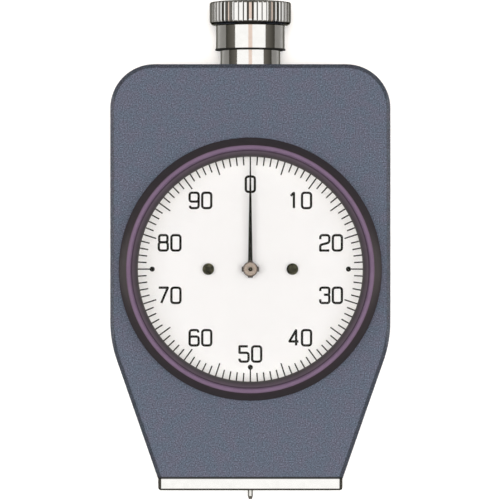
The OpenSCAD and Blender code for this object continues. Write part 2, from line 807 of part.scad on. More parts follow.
// The spindle's rack faces -X, with a tooth level with the drive arbor
module spindle() {
    rack_low = drive_y - (rack_teeth_below + 0.5) * rack_pitch;
    rack_high = drive_y + (rack_teeth_above + 0.5) * rack_pitch;
    flat = rack_height + rack_module;
    color(steel) difference() {
        union() {
            along_y(spindle_d, spindle_end, collar_top);
            along_y(spindle_pin_d, collar_top, spindle_pin_top);
        }
        translate([-flat - spindle_d, rack_low, axis_z - spindle_d])
            cube([spindle_d, rack_high - rack_low, 2 * spindle_d]);
        for (i = [-rack_teeth_below - 1:rack_teeth_above])
            translate([0, drive_y + (i + 0.5) * rack_pitch, 0]) rack_gap();
        along_y(indenter_d + 2 * press_gap, spindle_end - cut, spindle_end + indenter_grip);
        translate([0, guide_y, axis_z]) rotate([0, 90, 0]) cylinder(h = spindle_d, d = guide_pin_d + 2 * press_gap);
    }
}

module indenter() {
    tip_y = -case_bottom - foot_t - travel;
    cone_h = (indenter_d - indenter_tip_d) / 2 / tan(indenter_cone / 2);
    top = spindle_end + indenter_grip - press_gap;
    color(steel) turned_along_y([
        [0, tip_y], [indenter_tip_d / 2, tip_y], [indenter_d / 2, tip_y + cone_h], [indenter_d / 2, top], [0, top]
    ]);
}

// Pin across the spindle that slides in the case's guide slot
module guide_pin() {
    color(steel) translate([press_gap, guide_y, axis_z]) rotate([0, 90, 0])
        cylinder(h = guide_x + guide_lug_w - press_gap, d = guide_pin_d);
}

module spring_collar() {
    color(brass) difference() {
        along_y(collar_d, lug_top, collar_top);
        along_y(spindle_d + 2 * press_gap, lug_top - cut, collar_top + cut);
    }
}

function involute(r, base_r) = r <= base_r ? 0 : let (t = sqrt(pow(r / base_r, 2) - 1)) t * 180 / PI - atan(t);

// Outline of a gear whose first tooth points along +X
function gear_outline(m, teeth) =
    let (
        pitch_r = m * teeth / 2,
        base_r = pitch_r * cos(pressure_angle),
        root_r = pitch_r - 1.25 * m,
        tip_r = pitch_r + m,
        radii = [root_r, max(base_r, root_r + m / 4), pitch_r, tip_r],
        play = tooth_play / 2 / pitch_r * 180 / PI,
        half = [for (r = radii) 90 / teeth + involute(pitch_r, base_r) - involute(r, base_r) - play]
    )
    [
        for (i = [0:teeth - 1])
            let (a = 360 * i / teeth)
            each concat(
                [for (k = [0:3]) polar(radii[k], a - half[k])],
                [for (k = [3:-1:0]) polar(radii[k], a + half[k])]
            )
    ];

module toothed(m, teeth, from, to)
    translate([0, 0, from]) linear_extrude(to - from) polygon(gear_outline(m, teeth));

// A spoked gear on an arbor
module train_gear(bore_r, turn) {
    rim_r = gear_r - 4 * gear_module;
    boss_r = bore_r + 1;
    spoke_w = 1.2;
    color(brass) rotate(turn) difference() {
        toothed(gear_module, gear_teeth, gear_z, gear_z + gear_t);
        disc([0, 0], 2 * (bore_r + press_gap), gear_z - cut, gear_z + gear_t + cut);
        translate([0, 0, gear_z - cut]) linear_extrude(gear_t + 2 * cut) difference() {
            circle(r = rim_r);
            circle(r = boss_r);
            for (a = [0, 90]) rotate(a) square([3 * rim_r, spoke_w], center = true);
        }
    }
}

// Phase of each wheel: the drive gear has a tooth on the line of centres, and the centre pinion a gap there
centre_phase = drive_angle + 180 / centre_teeth;
take_up_offset = centre_phase - take_up_angle;
take_up_phase = take_up_angle + 180 - take_up_offset * centre_teeth / gear_teeth + 180 / gear_teeth;

// Turned arbor with its drive pinion, between the rear bridge and the front plate
module drive_arbor() {
    pinion_low = axis_z - drive_pinion_l / 2;
    pinion_high = axis_z + drive_pinion_l / 2;
    rear_shoulder = rear_bridge_top + shake;
    front_shoulder = plate_z - shake;
    front = plate_top - plate_t / 4;
    color(steel) union() {
        turned(drive_at, [
            [0, rear_bridge_z + shake], [drive_pivot_r, rear_bridge_z + shake], [drive_pivot_r, rear_shoulder],
            [drive_shaft_r, rear_shoulder], [drive_shaft_r, front_shoulder], [drive_pivot_r, front_shoulder],
            [drive_pivot_r, front], [0, front]
        ]);
        translate([drive_at[0], drive_at[1], 0]) rotate(180 / drive_pinion_teeth)
            toothed(rack_module, drive_pinion_teeth, pinion_low, pinion_high);
    }
}

module drive_gear()
    translate([drive_at[0], drive_at[1], 0]) train_gear(drive_shaft_r, drive_angle + 180);

// Turned arbor with the centre pinion, from the centre bridge out to the pointer's hub
module centre_arbor() {
    rear_shoulder = centre_bridge_z + centre_bridge_t + shake;
    pinion_low = gear_z - 0.3;
    pinion_high = gear_z + gear_t + 0.3;
    front_shoulder = plate_z - shake;
    rear = rear_shoulder - pivot_l;
    shaft_r = centre_journal_r + 0.2;
    journal_top = plate_top + shake;
    front = pointer_z + pointer_t + hub_face_h / 2;
    color(steel) union() {
        turned([0, 0], [
            [0, rear], [pivot_r, rear], [pivot_r, rear_shoulder], [shaft_r, rear_shoulder],
            [shaft_r, front_shoulder], [centre_journal_r, front_shoulder], [centre_journal_r, journal_top],
            [pointer_seat_r, journal_top], [pointer_seat_r, front], [0, front]
        ]);
        rotate(centre_phase) toothed(gear_module, centre_teeth, pinion_low, pinion_high);
    }
}

module take_up_arbor() {
    rear_shoulder = centre_bridge_z + centre_bridge_t + shake;
    front_shoulder = plate_z - shake;
    rear = rear_shoulder - pivot_l;
    front = plate_top - plate_t / 4;
    color(steel) turned(take_up_at, [
        [0, rear], [pivot_r, rear], [pivot_r, rear_shoulder], [arbor_r, rear_shoulder], [arbor_r, front_shoulder],
        [pivot_r, front_shoulder], [pivot_r, front], [0, front]
    ]);
}

module take_up_gear()
    translate([take_up_at[0], take_up_at[1], 0]) train_gear(arbor_r, take_up_phase);

module hairspring_collet() {
    low = hairspring_z - shake / 2;
    high = hairspring_z + hairspring_h + shake / 2;
    color(brass) translate([take_up_at[0], take_up_at[1], 0]) difference() {
        disc([0, 0], 2 * collet_r, low, high);
        disc([0, 0], 2 * (arbor_r + press_gap), low - cut, high + cut);
    }
}

// Flat spiral from the collet out to the stud
module hairspring() {
    steps = 24 * hairspring_turns;
    sweep = 360 * hairspring_turns;
    function spiral(side) = [
        for (i = [0:steps])
            let (s = i / steps, r = hairspring_inner_r + (hairspring_outer_r - hairspring_inner_r) * s)
            polar(r + side * hairspring_t / 2, take_up_angle - sweep * (1 - s))
    ];
    outer = spiral(1);
    inner = spiral(-1);
    color("#5b6f8f") translate([take_up_at[0], take_up_at[1], hairspring_z]) linear_extrude(hairspring_h)
        polygon(concat(inner, [for (i = [steps:-1:0]) outer[i]]));
}

module hairspring_stud() {
    base = centre_bridge_z + centre_bridge_t;
    color(brass) disc(stud_at, 2 * stud_r, base, hairspring_z + hairspring_h);
}

// Tapered blade with a cross-shaped eye, at the zero mark
module pointer() {
    color(black) translate([0, 0, pointer_z]) linear_extrude(pointer_t) difference() {
        union() {
            circle(r = hub_collar_r);
            for (a = [0, 90]) rotate(a) square([pointer_eye_d, pointer_eye_w], center = true);
            polygon([
                [-pointer_w / 2, 0], [pointer_w / 2, 0], [pointer_tip_w / 2, pointer_reach],
                [-pointer_tip_w / 2, pointer_reach]
            ]);
        }
        circle(r = hub_neck_r + press_gap);
    }
}

// Turned hub, riveted through the pointer's eye
module pointer_hub() {
    bottom = pointer_z - hub_collar_h;
    top = pointer_z + pointer_t;
    bevel = 0.15;
    bore = pointer_seat_r + press_gap;
    color("#b9aca2") rotate_extrude() polygon([
        [bore, bottom], [hub_collar_r, bottom], [hub_collar_r, pointer_z], [hub_neck_r, pointer_z],
        [hub_neck_r, top], [hub_d / 2, top], [hub_d / 2, top + hub_face_h - bevel],
        [hub_d / 2 - bevel, top + hub_face_h], [bore, top + hub_face_h]
    ]);
}

// Outline of the knurl: flat-topped ridges, drawn a little proud of the head that they are cut from
function knurl_outline(head_r) =
    let (
        proud = 0.1,
        pitch = 360 / knurl_ridges,
        ridge = pitch / 2 - pitch * (1 - knurl_flat) / 2 * (1 + proud / knurl_depth)
    )
    [
        for (i = [0:knurl_ridges - 1])
            each [
                polar(head_r + proud, pitch * i - ridge),
                polar(head_r + proud, pitch * i + ridge),
                polar(head_r - knurl_depth, pitch * (i + 0.5))
            ]
    ];

// Cap nut: a smooth skirt and a straight-knurled head with a domed top
module knob() {
    head_r = knob_d / 2;
    top = knob_head_y + knob_h;
    bore = stem_thread_d / 2 + thread_gap;
    bore_room = 0.5;
    bore_top = case_top + stem_h + stem_thread_l + bore_room;
    color(chrome) difference() {
        intersection() {
            turned_along_y(concat(
                [[0, knob_y], [skirt_d / 2, knob_y], [skirt_d / 2, knob_head_y]],
                [for (a = [-90:15:0]) [head_r - knob_round, knob_head_y + knob_round] + polar(knob_round, a)],
                [for (a = [0:30:90]) [head_r - knob_edge, top - knob_edge] + polar(knob_edge, a)],
                [for (a = [15:15:90]) [(head_r - knob_edge) * cos(a), top + knob_dome * pow(sin(a), 1.5)]]
            ));
            translate([0, knob_y - cut, axis_z]) rotate([-90, 0, 0])
                linear_extrude(top + knob_dome + 2 * cut - knob_y) polygon(knurl_outline(head_r));
        }
        along_y(2 * bore, knob_y - cut, bore_top);
    }
}

module knob_washer() {
    color(black) difference() {
        along_y(skirt_d + 2 * washer_step, case_top + stem_h, knob_y);
        along_y(stem_thread_d + 2 * thread_gap, case_top + stem_h - cut, knob_y + cut);
    }
}

case();
rear_cover();
rear_cover_screws();
bezel();
crystal();
crystal_ring();
dial_plate();
dial_graduations();
dial_posts();
dial_screws();
front_plate();
front_plate_screws();
centre_bridge();
centre_pillars();
rear_bridge();
rear_pillars();
bridge_screws();
lower_bush();
upper_bush();
stem();
load_adjuster();
load_spring();
foot();
foot_screws();
spindle();
indenter();
guide_pin();
spring_collar();
drive_arbor();
drive_gear();
centre_arbor();
pointer();
pointer_hub();
take_up_arbor();
take_up_gear();
hairspring_collet();
hairspring();
hairspring_stud();
knob();
knob_washer();
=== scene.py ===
"""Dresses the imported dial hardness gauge: finishes, dial print, floor, studio light and camera."""

import json
import logging
import math
from dataclasses import dataclass, field
from enum import Enum
from typing import ClassVar, Sequence

import bmesh
import bpy
from mathutils import Matrix, Vector


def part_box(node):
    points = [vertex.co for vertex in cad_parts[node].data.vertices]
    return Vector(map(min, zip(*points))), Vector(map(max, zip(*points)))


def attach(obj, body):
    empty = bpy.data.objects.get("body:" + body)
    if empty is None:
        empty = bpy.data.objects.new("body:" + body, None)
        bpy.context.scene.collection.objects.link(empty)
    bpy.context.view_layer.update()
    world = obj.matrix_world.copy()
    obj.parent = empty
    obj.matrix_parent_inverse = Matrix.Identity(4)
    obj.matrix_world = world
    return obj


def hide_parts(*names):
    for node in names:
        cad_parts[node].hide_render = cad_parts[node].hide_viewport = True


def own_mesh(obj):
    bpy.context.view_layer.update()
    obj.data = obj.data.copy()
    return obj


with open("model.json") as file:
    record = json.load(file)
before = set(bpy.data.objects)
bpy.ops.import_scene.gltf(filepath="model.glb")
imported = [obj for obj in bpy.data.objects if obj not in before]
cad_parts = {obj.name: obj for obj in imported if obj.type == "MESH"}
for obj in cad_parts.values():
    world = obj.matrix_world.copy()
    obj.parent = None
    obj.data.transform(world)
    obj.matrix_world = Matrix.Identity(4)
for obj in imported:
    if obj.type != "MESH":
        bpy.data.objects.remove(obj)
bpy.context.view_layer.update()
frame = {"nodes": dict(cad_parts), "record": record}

MM = 0.001

Point = tuple[float, float]
Triple = tuple[float, float, float]
Colour = Triple
Stops = Sequence[tuple[float, Colour]]
Shares = Sequence[Point]
Stroke = tuple[Triple, ...]
Socket = bpy.types.NodeSocket

WHITE: Colour = (1.0, 1.0, 1.0)
ROUND_Y: Triple = (1.0, 0.0, 1.0)
ROUND_Z: Triple = (1.0, 1.0, 0.0)
# Layers of the noise in fine grain and in soft clouds
GRAIN_LAYERS = 2.0
CLOUD_LAYERS = 3.0
# Noise values at which a cloud reaches its two tones
SOFT_CLOUD: Point = (0.3, 0.7)
CRISP_CLOUD: Point = (0.38, 0.62)
# Body that every new piece rides on
GAUGE = "gauge"

log = logging.getLogger("gauge")


class Axis(Enum):
    """Directions that a pattern can run along."""

    X = "X"
    Y = "Y"
    Z = "Z"


class Lay(Enum):
    """Ways to lay one colour over another."""

    COVER = "MIX"
    TINT = "MULTIPLY"


class Slot(Enum):
    """Finishes that the record names."""

    HAMMER_PAINT = "hammer_paint"
    BLACK_ANODISED = "black_anodised"
    CRYSTAL = "crystal"
    DIAL_WHITE = "dial_white"
    PRINT_BLACK = "print_black"
    BLACK_STEEL = "black_steel"
    WASHER_BLACK = "washer_black"
    CHROME = "chrome"
    STEEL = "steel"
    SPRING_STEEL = "spring_steel"
    BLUE_STEEL = "blue_steel"
    BRASS = "brass"
    HUB_NICKEL = "hub_nickel"


def shade(colour: Colour, factor: float) -> Colour:
    """Darken or lighten a colour by a factor."""
    return tuple(min(1.0, c * factor) for c in colour)


def greys(shares: Shares) -> Stops:
    """Turn shares of light into grey stops."""
    return [(place, (share,) * 3) for place, share in shares]


def show(name: str, data: bpy.types.ID) -> bpy.types.Object:
    """Put a mesh, a lamp or a camera into the scene.

    Args:
        name: Name of the new object.
        data: What the object holds.

    Returns:
        The object.
    """
    thing = bpy.data.objects.new(name, data)
    bpy.context.scene.collection.objects.link(thing)
    return thing


def settle(name: str, bm: bmesh.types.BMesh) -> bpy.types.Object:
    """Turn a finished bmesh into an object of the scene.

    Args:
        name: Name of the new object.
        bm: The bmesh, which is freed.

    Returns:
        The object.
    """
    mesh = bpy.data.meshes.new(name)
    bm.to_mesh(mesh)
    bm.free()
    return show(name, mesh)


class NodeBoard:
    """A material's node tree, with short ways to add and join nodes."""

    def __init__(self, name: str) -> None:
        """Start a material with a Principled shader on its output.

        Args:
            name: Name of the material.
        """
        self.material = bpy.data.materials.new(name)
        self.material.use_nodes = True
        self.tree = self.material.node_tree
        self.shader = self.tree.nodes["Principled BSDF"]
        self.output = self.tree.nodes["Material Output"]

    def add(self, kind: str, **values: object) -> bpy.types.Node:
        """Add a node and set its properties or sockets.

        Args:
            kind: Node type without its ShaderNode prefix.
            **values: Node properties, or socket names with underscores for spaces.

        Returns:
            The new node.
        """
        node = self.tree.nodes.new("ShaderNode" + kind)
        for key, value in values.items():
            if hasattr(node, key):
                setattr(node, key, value)
            else:
                node.inputs[key.replace("_", " ")].default_value = value
        return node

    def join(self, start: Socket, end: Socket) -> None:
        """Link an output socket to an input socket."""
        self.tree.links.new(start, end)

    def feed(self, start: Socket, name: str) -> None:
        """Link an output socket to one of the shader's sockets."""
        self.join(start, self.shader.inputs[name])

    def surface(self, **values: object) -> None:
        """Set sockets of the shader to plain values."""
        for key, value in values.items():
            self.shader.inputs[key.replace("_", " ")].default_value = value

    def place(self, scale: Triple = (1, 1, 1), shift: Triple = (0, 0, 0)) -> Socket:
        """Give the piece's own coordinates, in millimetres.

        Args:
            scale: Stretch along each axis.
            shift: Point, in millimetres, that becomes the pattern's centre.

        Returns:
            A vector socket.
        """
        mapping = self.add("Mapping", Location=[-s * k for s, k in zip(shift, scale)],
                           Scale=[k / MM for k in scale])
        self.join(self.add("TexCoord").outputs["Object"], mapping.inputs["Vector"])
        return mapping.outputs["Vector"]

    def noise(self, where: Socket, size: float, layers: float = GRAIN_LAYERS,
              grit: float = 0.5) -> Socket:
        """Add a noise pattern.

        Args:
            where: Coordinates in millimetres.
            size: Size of the pattern's blotches in millimetres.
            layers: Number of finer layers.
            grit: Strength of the finer layers.

        Returns:
            A value socket.
        """
        node = self.add("TexNoise", Scale=1 / size, Detail=layers, Roughness=grit)
        self.join(where, node.inputs["Vector"])
        return node.outputs["Fac"]

    def ramp(self, value: Socket, stops: Stops) -> Socket:
        """Turn a value into a colour.

        Args:
            value: Value from 0 to 1.
            stops: Positions and their colours.

        Returns:
            A colour socket.
        """
        node = self.add("ValToRGB")
        elements = node.color_ramp.elements
        while len(elements) < len(stops):
            elements.new(1.0)
        for element, (position, colour) in zip(elements, stops):
            element.position = position
            element.color = (*colour, 1.0)
        self.join(value, node.inputs["Fac"])
        return node.outputs["Color"]

    def cloud(self, size: float, span: Point, dark: Colour, light: Colour) -> Socket:
        """Let a colour drift between two tones.

        Args:
            size: Size of the clouds in millimetres.
            span: Noise values at which the two tones are reached.
            dark: One tone.
            light: The other tone.

        Returns:
            A colour socket.
        """
        pattern = self.noise(self.place(), size, CLOUD_LAYERS)
        return self.ramp(pattern, list(zip(span, (dark, light))))

    def rescale(self, value: Socket, **limits: float) -> Socket:
        """Map a value from one range to another.

        Args:
            value: The value.
            **limits: From_Min, From_Max, To_Min and To_Max, 0 and 1 where they aren't given.

        Returns:
            A value socket.
        """
        node = self.add("MapRange", **limits)
        self.join(value, node.inputs["Value"])
        return node.outputs["Result"]

    def along(self, where: Socket, axis: Axis, low: float, high: float) -> Socket:
        """Give how far a point lies along one axis.

        Args:
            where: Coordinates in millimetres.
            axis: The axis.
            low: Place that gives 0.
            high: Place that gives 1.

        Returns:
            A value socket.
        """
        split = self.add("SeparateXYZ")
        self.join(where, split.inputs[0])
        return self.rescale(split.outputs[axis.value], From_Min=low, From_Max=high)

    def reach(self, where: Socket, low: float, high: float, across: Triple = ROUND_Z) -> Socket:
        """Give how far a point lies from an axis.

        Args:
            where: Coordinates in millimetres.
            low: Radius that gives 0.
            high: Radius that gives 1.
            across: 1 for each direction square to the axis, 0 for the axis.

        Returns:
            A value socket.
        """
        flat = self.add("VectorMath", operation="MULTIPLY")
        flat.inputs[1].default_value = across
        self.join(where, flat.inputs[0])
        length = self.add("VectorMath", operation="LENGTH")
        self.join(flat.outputs["Vector"], length.inputs[0])
        return self.rescale(length.outputs["Value"], From_Min=low, From_Max=high)

    def bands(self, where: Socket, axis: Axis, stops: Stops) -> Socket:
        """Colour by the place along an axis.

        Args:
            where: Coordinates in millimetres.
            axis: The axis.
            stops: Places in millimetres and their colours.

        Returns:
            A colour socket.
        """
        low, high = stops[0][0], stops[-1][0]
        return self.ramp(self.along(where, axis, low, high), self.fit(stops))

    def rings(self, where: Socket, stops: Stops, across: Triple = ROUND_Z) -> Socket:
        """Colour by the distance from an axis.

        Args:
            where: Coordinates in millimetres.
            stops: Radii in millimetres and their colours.
            across: 1 for each direction square to the axis, 0 for the axis.

        Returns:
            A colour socket.
        """
        low, high = stops[0][0], stops[-1][0]
        return self.ramp(self.reach(where, low, high, across), self.fit(stops))

    @staticmethod
    def fit(stops: Stops) -> Stops:
        """Move stops in millimetres onto a ramp's 0 to 1."""
        low, high = stops[0][0], stops[-1][0]
        return [((place - low) / (high - low), colour) for place, colour in stops]

    def mix(self, mask: Socket | float, first: Socket | Colour, second: Socket,
            lay: Lay = Lay.COVER) -> Socket:
        """Lay one colour over another.

        Args:
            mask: 0 for the first colour alone, 1 for the second laid over it.
            first: A pattern or a plain colour.
            second: A pattern.
            lay: How the second is laid on.

        Returns:
            A colour socket.
        """
        node = self.add("Mix", data_type="RGBA", blend_type=lay.value)
        under, over = (socket for socket in node.inputs if socket.type == "RGBA")
        if isinstance(mask, Socket):
            self.join(mask, node.inputs[0])
        else:
            node.inputs[0].default_value = mask
        if isinstance(first, Socket):
            self.join(first, under)
        else:
            under.default_value = (*first, 1.0)
        self.join(second, over)
        return next(socket for socket in node.outputs if socket.type == "RGBA")

    def times(self, *patterns: Socket) -> Socket:
        """Multiply colour patterns.

        Args:
            *patterns: Two or more patterns.

        Returns:
            A colour socket.
        """
        product = patterns[0]
        for pattern in patterns[1:]:
            product = self.mix(1.0, product, pattern, Lay.TINT)
        return product

    def mirrored(self, where: Socket) -> Socket:
        """Fold coordinates so that both sides of each axis look alike.

        Args:
            where: Coordinates.

        Returns:
            A vector socket.
        """
        node = self.add("VectorMath", operation="ABSOLUTE")
        self.join(where, node.inputs[0])
        return node.outputs["Vector"]

    def dull(self, pattern: Socket, middle: float, swing: float) -> None:
        """Let a pattern vary the shader's roughness.

        Args:
            pattern: Value from 0 to 1.
            middle: Roughness in the middle of the pattern.
            swing: How far the roughness goes up and down from there.
        """
        varied = self.rescale(pattern, To_Min=middle - swing, To_Max=middle + swing)
        self.feed(varied, "Roughness")

    def bump(self, height: Socket, depth: float, strength: float) -> None:
        """Let a height pattern tilt the surface.

        Args:
            height: Height pattern.
            depth: Depth of the pattern in millimetres.
            strength: Share of the effect.
        """
        node = self.add("Bump", Strength=strength, Distance=depth * MM)
        self.join(height, node.inputs["Height"])
        self.feed(node.outputs["Normal"], "Normal")


@dataclass(frozen=True)
class Finish:
    """A finish of the gauge; each kind paints its own nodes."""

    slot: Slot

    def make(self) -> bpy.types.Material:
        """Build the material.

        Returns:
            The material.
        """
        board = NodeBoard(self.slot.value)
        self.paint(board)
        return board.material

    def paint(self, board: NodeBoard) -> None:
        """Give the material its colour, gloss and relief."""
        raise NotImplementedError


@dataclass(frozen=True)
class HammerPaint(Finish):
    """Stove enamel with fine metallic flecks and a slightly pebbled surface."""

    slot: Slot = Slot.HAMMER_PAINT
    colour: Colour = (0.172, 0.198, 0.285)
    fleck_size: float = 0.3
    fleck_grit: float = 0.7
    flecks: Shares = ((0.26, 0.38), (0.46, 0.95), (0.58, 1.31), (0.72, 2.4))
    tint_size: float = 2.4
    tint_shift: Triple = (100.0, 100.0, 100.0)
    tints: Stops = ((0.35, (0.89, 0.98, 0.98)), (0.65, (1.0, 0.945, 0.965)))
    # The bevel's span in height, and its painted shade: darker over the ends and lighter along the
    # sides, as the soft box lights them
    bevel: Shares = ((23.0, 0.0), (23.03, 1.0), (23.88, 1.0), (23.93, 0.0))
    bevel_painted_shade: Stops = ((32.35, (0.58, 0.58, 0.55)), (32.47, (1.02, 0.96, 0.85)))
    # Painted shade in the joint above the foot
    joint_painted_shade: Stops = ((-49.8, (0.46, 0.45, 0.42)), (-49.42, (0.46, 0.45, 0.42)), (-49.36, WHITE))
    roughness: float = 0.43
    fleck_gloss: float = 0.07
    shine: float = 0.3
    pebble_size: float = 0.7
    pebble_depth: float = 0.05
    pebble_strength: float = 0.5

    def paint(self, board: NodeBoard) -> None:
        """Scatter the flecks, tint them, and paint shade onto the bevel and into the joint above the
        foot.

        Args:
            board: The material's nodes.
        """
        where = board.place()
        fleck = board.noise(where, self.fleck_size, grit=self.fleck_grit)
        tone = board.ramp(fleck, [(at, shade(self.colour, part)) for at, part in self.flecks])
        patches = board.noise(board.place(shift=self.tint_shift), self.tint_size)
        # Painted shade on the bevel: darker over the ends than along the sides
        bevel = board.bands(where, Axis.Z, greys(self.bevel))
        bevel_shade_tone = board.bands(board.mirrored(where), Axis.X, self.bevel_painted_shade)
        edge = board.mix(bevel, WHITE, bevel_shade_tone)
        # Painted shade in the joint between the case and the foot
        joint_painted_shade = board.bands(where, Axis.Y, self.joint_painted_shade)
        board.feed(board.times(tone, board.ramp(patches, self.tints), edge, joint_painted_shade), "Base Color")
        board.dull(fleck, self.roughness, -self.fleck_gloss)
        board.surface(Specular_IOR_Level=self.shine)
        pebbles = board.noise(where, self.pebble_size)
        board.bump(pebbles, self.pebble_depth, self.pebble_strength)


@dataclass(frozen=True)
class SatinBlack(Finish):
    """Black anodised aluminium with a violet cast, a painted violet highlight on its crown, painted
    shade on its slopes, fine turning marks and a white bore.
    """

    slot: Slot = Slot.BLACK_ANODISED
    # Rings of the face: black anodising with a violet cast, plus a painted violet highlight on the
    # crown and painted shade on the inner and outer slopes
    face: Stops = (
        (26.6, (0.16, 0.152, 0.152)), (27.1, (0.122, 0.108, 0.122)), (27.9, (0.21, 0.165, 0.218)),
        (28.15, (0.088, 0.062, 0.09)), (28.42, (0.37, 0.255, 0.42)), (29.3, (0.375, 0.255, 0.41)),
        (29.47, (0.1, 0.078, 0.088)), (31.2, (0.092, 0.083, 0.089)),
    )
    bore: Stops = ((27.9, (0.92, 0.905, 0.885)), (28.2, (0.085, 0.067, 0.075)))
    bore_edge: Point = (25.4, 25.5)
    cloud_size: float = 2.5
    cloud_dark: float = 0.88
    roughness: float = 0.34
    swing: float = 0.06
    shine: float = 0.05
    mark_pitch: float = 0.12
    mark_depth: float = 0.004
    mark_strength: float = 0.5

    def paint(self, board: NodeBoard) -> None:
        """Colour the face in rings, with a painted highlight on the crown and painted shade on the
        slopes, and the bore below its edge.

        Args:
            board: The material's nodes.
        """
        where = board.place()
        cloud = board.cloud(self.cloud_size, SOFT_CLOUD, shade(WHITE, self.cloud_dark), WHITE)
        # The rings carry the painted highlight on the crown and the painted shade on the slopes
        face = board.times(board.rings(where, self.face), cloud)
        above = board.along(where, Axis.Z, *self.bore_edge)
        board.feed(board.mix(above, board.rings(where, self.bore), face), "Base Color")
        marks = board.noise(where, self.mark_pitch)
        board.dull(marks, self.roughness, self.swing)
        board.surface(Specular_IOR_Level=self.shine)
        board.bump(marks, self.mark_depth, self.mark_strength)


@dataclass(frozen=True)
class ClearCrystal(Finish):
    """Clear acrylic with faint wipe marks; lamps shine through it onto the dial."""

    slot: Slot = Slot.CRYSTAL
    ior: float = 1.12
    wipe_size: float = 9.0
    wipe_layers: float = 4.0
    wipe_dull: float = 0.015

    def paint(self, board: NodeBoard) -> None:
        """Make the shader clear and let shadow rays pass.

        Args:
            board: The material's nodes.
        """
        board.surface(Base_Color=(*WHITE, 1.0), Transmission_Weight=1.0, IOR=self.ior)
        wipe = board.noise(board.place(), self.wipe_size, self.wipe_layers)
        board.dull(wipe, self.wipe_dull, self.wipe_dull)
        path = board.add("LightPath")
        clear = board.add("BsdfTransparent")
        mix = board.add("MixShader")
        board.join(path.outputs["Is Shadow Ray"], mix.inputs[0])
        board.join(board.shader.outputs["BSDF"], mix.inputs[1])
        board.join(clear.outputs["BSDF"], mix.inputs[2])
        board.join(mix.outputs["Shader"], board.output.inputs["Surface"])


@dataclass(frozen=True)
class MattCoat(Finish):
    """A matt printed or pressed coat: dial white, ink, blackened steel, fibre."""

    colour: Colour
    roughness: float = 0.6
    swing: float = 0.08
    variation: float = 0.03
    cloud_size: float = 3.0
    shine: float = 0.2
    grain_size: float = 0.3
    grain_depth: float = 0.006
    grain_strength: float = 0.4

    def tone(self, board: NodeBoard) -> Socket:
        """Give the colour, clouded.

        Args:
            board: The material's nodes.

        Returns:
            A colour socket.
        """
        dark, light = (shade(self.colour, 1 + part) for part in (-self.variation, self.variation))
        return board.cloud(self.cloud_size, CRISP_CLOUD, dark, light)

    def paint(self, board: NodeBoard) -> None:
        """Lay the colour on with a fine grain.

        Args:
            board: The material's nodes.
        """
        board.feed(self.tone(board), "Base Color")
        grain = board.noise(board.place(), self.grain_size)
        board.dull(grain, self.roughness, self.swing)
        board.surface(Specular_IOR_Level=self.shine)
        board.bump(grain, self.grain_depth, self.grain_strength)


@dataclass(frozen=True)
class WornInk(MattCoat):
    """Black ink, paler in a thin ring round the pointer's hub."""

    slot: Slot = Slot.PRINT_BLACK
    colour: Colour = (0.012, 0.012, 0.009)
    variation: float = 0.12
    shine: float = 0.05
    grain_size: float = 0.2
    pale_near_hub: Colour = (0.09, 0.078, 0.066)
    pale_near_hub_reach: Point = (2.02, 2.12)

    def tone(self, board: NodeBoard) -> Socket:
        """Give the colour, paler near the dial's centre.

        Args:
            board: The material's nodes.

        Returns:
            A colour socket.
        """
        away_from_hub = board.reach(board.place(), *self.pale_near_hub_reach)
        return board.mix(away_from_hub, self.pale_near_hub, super().tone(board))


@dataclass(frozen=True)
class DialWhite(MattCoat):
    """Matt white dial coat, with painted light that whitens it towards the rim against the bezel's
    shade.
    """

    slot: Slot = Slot.DIAL_WHITE
    colour: Colour = WHITE
    variation: float = 0.015
    shine: float = 0.1
    grain_size: float = 0.25
    # Painted light: the white grows towards the rim to offset the shade of the bezel's wall there
    rim_painted_light: Stops = ((21.0, (0.945, 0.94, 0.95)), (26.4, (0.99, 0.985, 0.98)))

    def tone(self, board: NodeBoard) -> Socket:
        """Give the colour, with painted light that whitens it towards the rim.

        Args:
            board: The material's nodes.

        Returns:
            A colour socket.
        """
        return board.times(board.rings(board.place(), self.rim_painted_light), super().tone(board))


@dataclass(frozen=True)
class BareMetal(Finish):
    """A plated, ground or turned metal with faint marks along one axis."""

    colour: Colour
    edge: Colour
    roughness: float
    swing: float = 0.25
    variation: float = 0.06
    cloud_size: float = 2.0
    marks: Triple = (4.0, 4.0, 4.0)
    mark_size: float = 1.0
    mark_grit: float = 0.6
    mark_depth: float = 0.003
    mark_strength: float = 0.4

    def tone(self, board: NodeBoard) -> Socket:
        """Give the colour, slightly clouded.

        Args:
            board: The material's nodes.

        Returns:
            A colour socket.
        """
        dark, light = (shade(self.colour, 1 + part) for part in (-self.variation, self.variation))
        return board.cloud(self.cloud_size, SOFT_CLOUD, dark, light)

    def paint(self, board: NodeBoard) -> None:
        """Make the shader metallic and draw the marks.

        Args:
            board: The material's nodes.
        """
        board.feed(self.tone(board), "Base Color")
        mark = board.noise(board.place(self.marks), self.mark_size, CLOUD_LAYERS, self.mark_grit)
        board.dull(mark, self.roughness, self.roughness * self.swing)
        board.surface(Metallic=1.0, Specular_Tint=(*self.edge, 1.0))
        board.bump(mark, self.mark_depth, self.mark_strength)


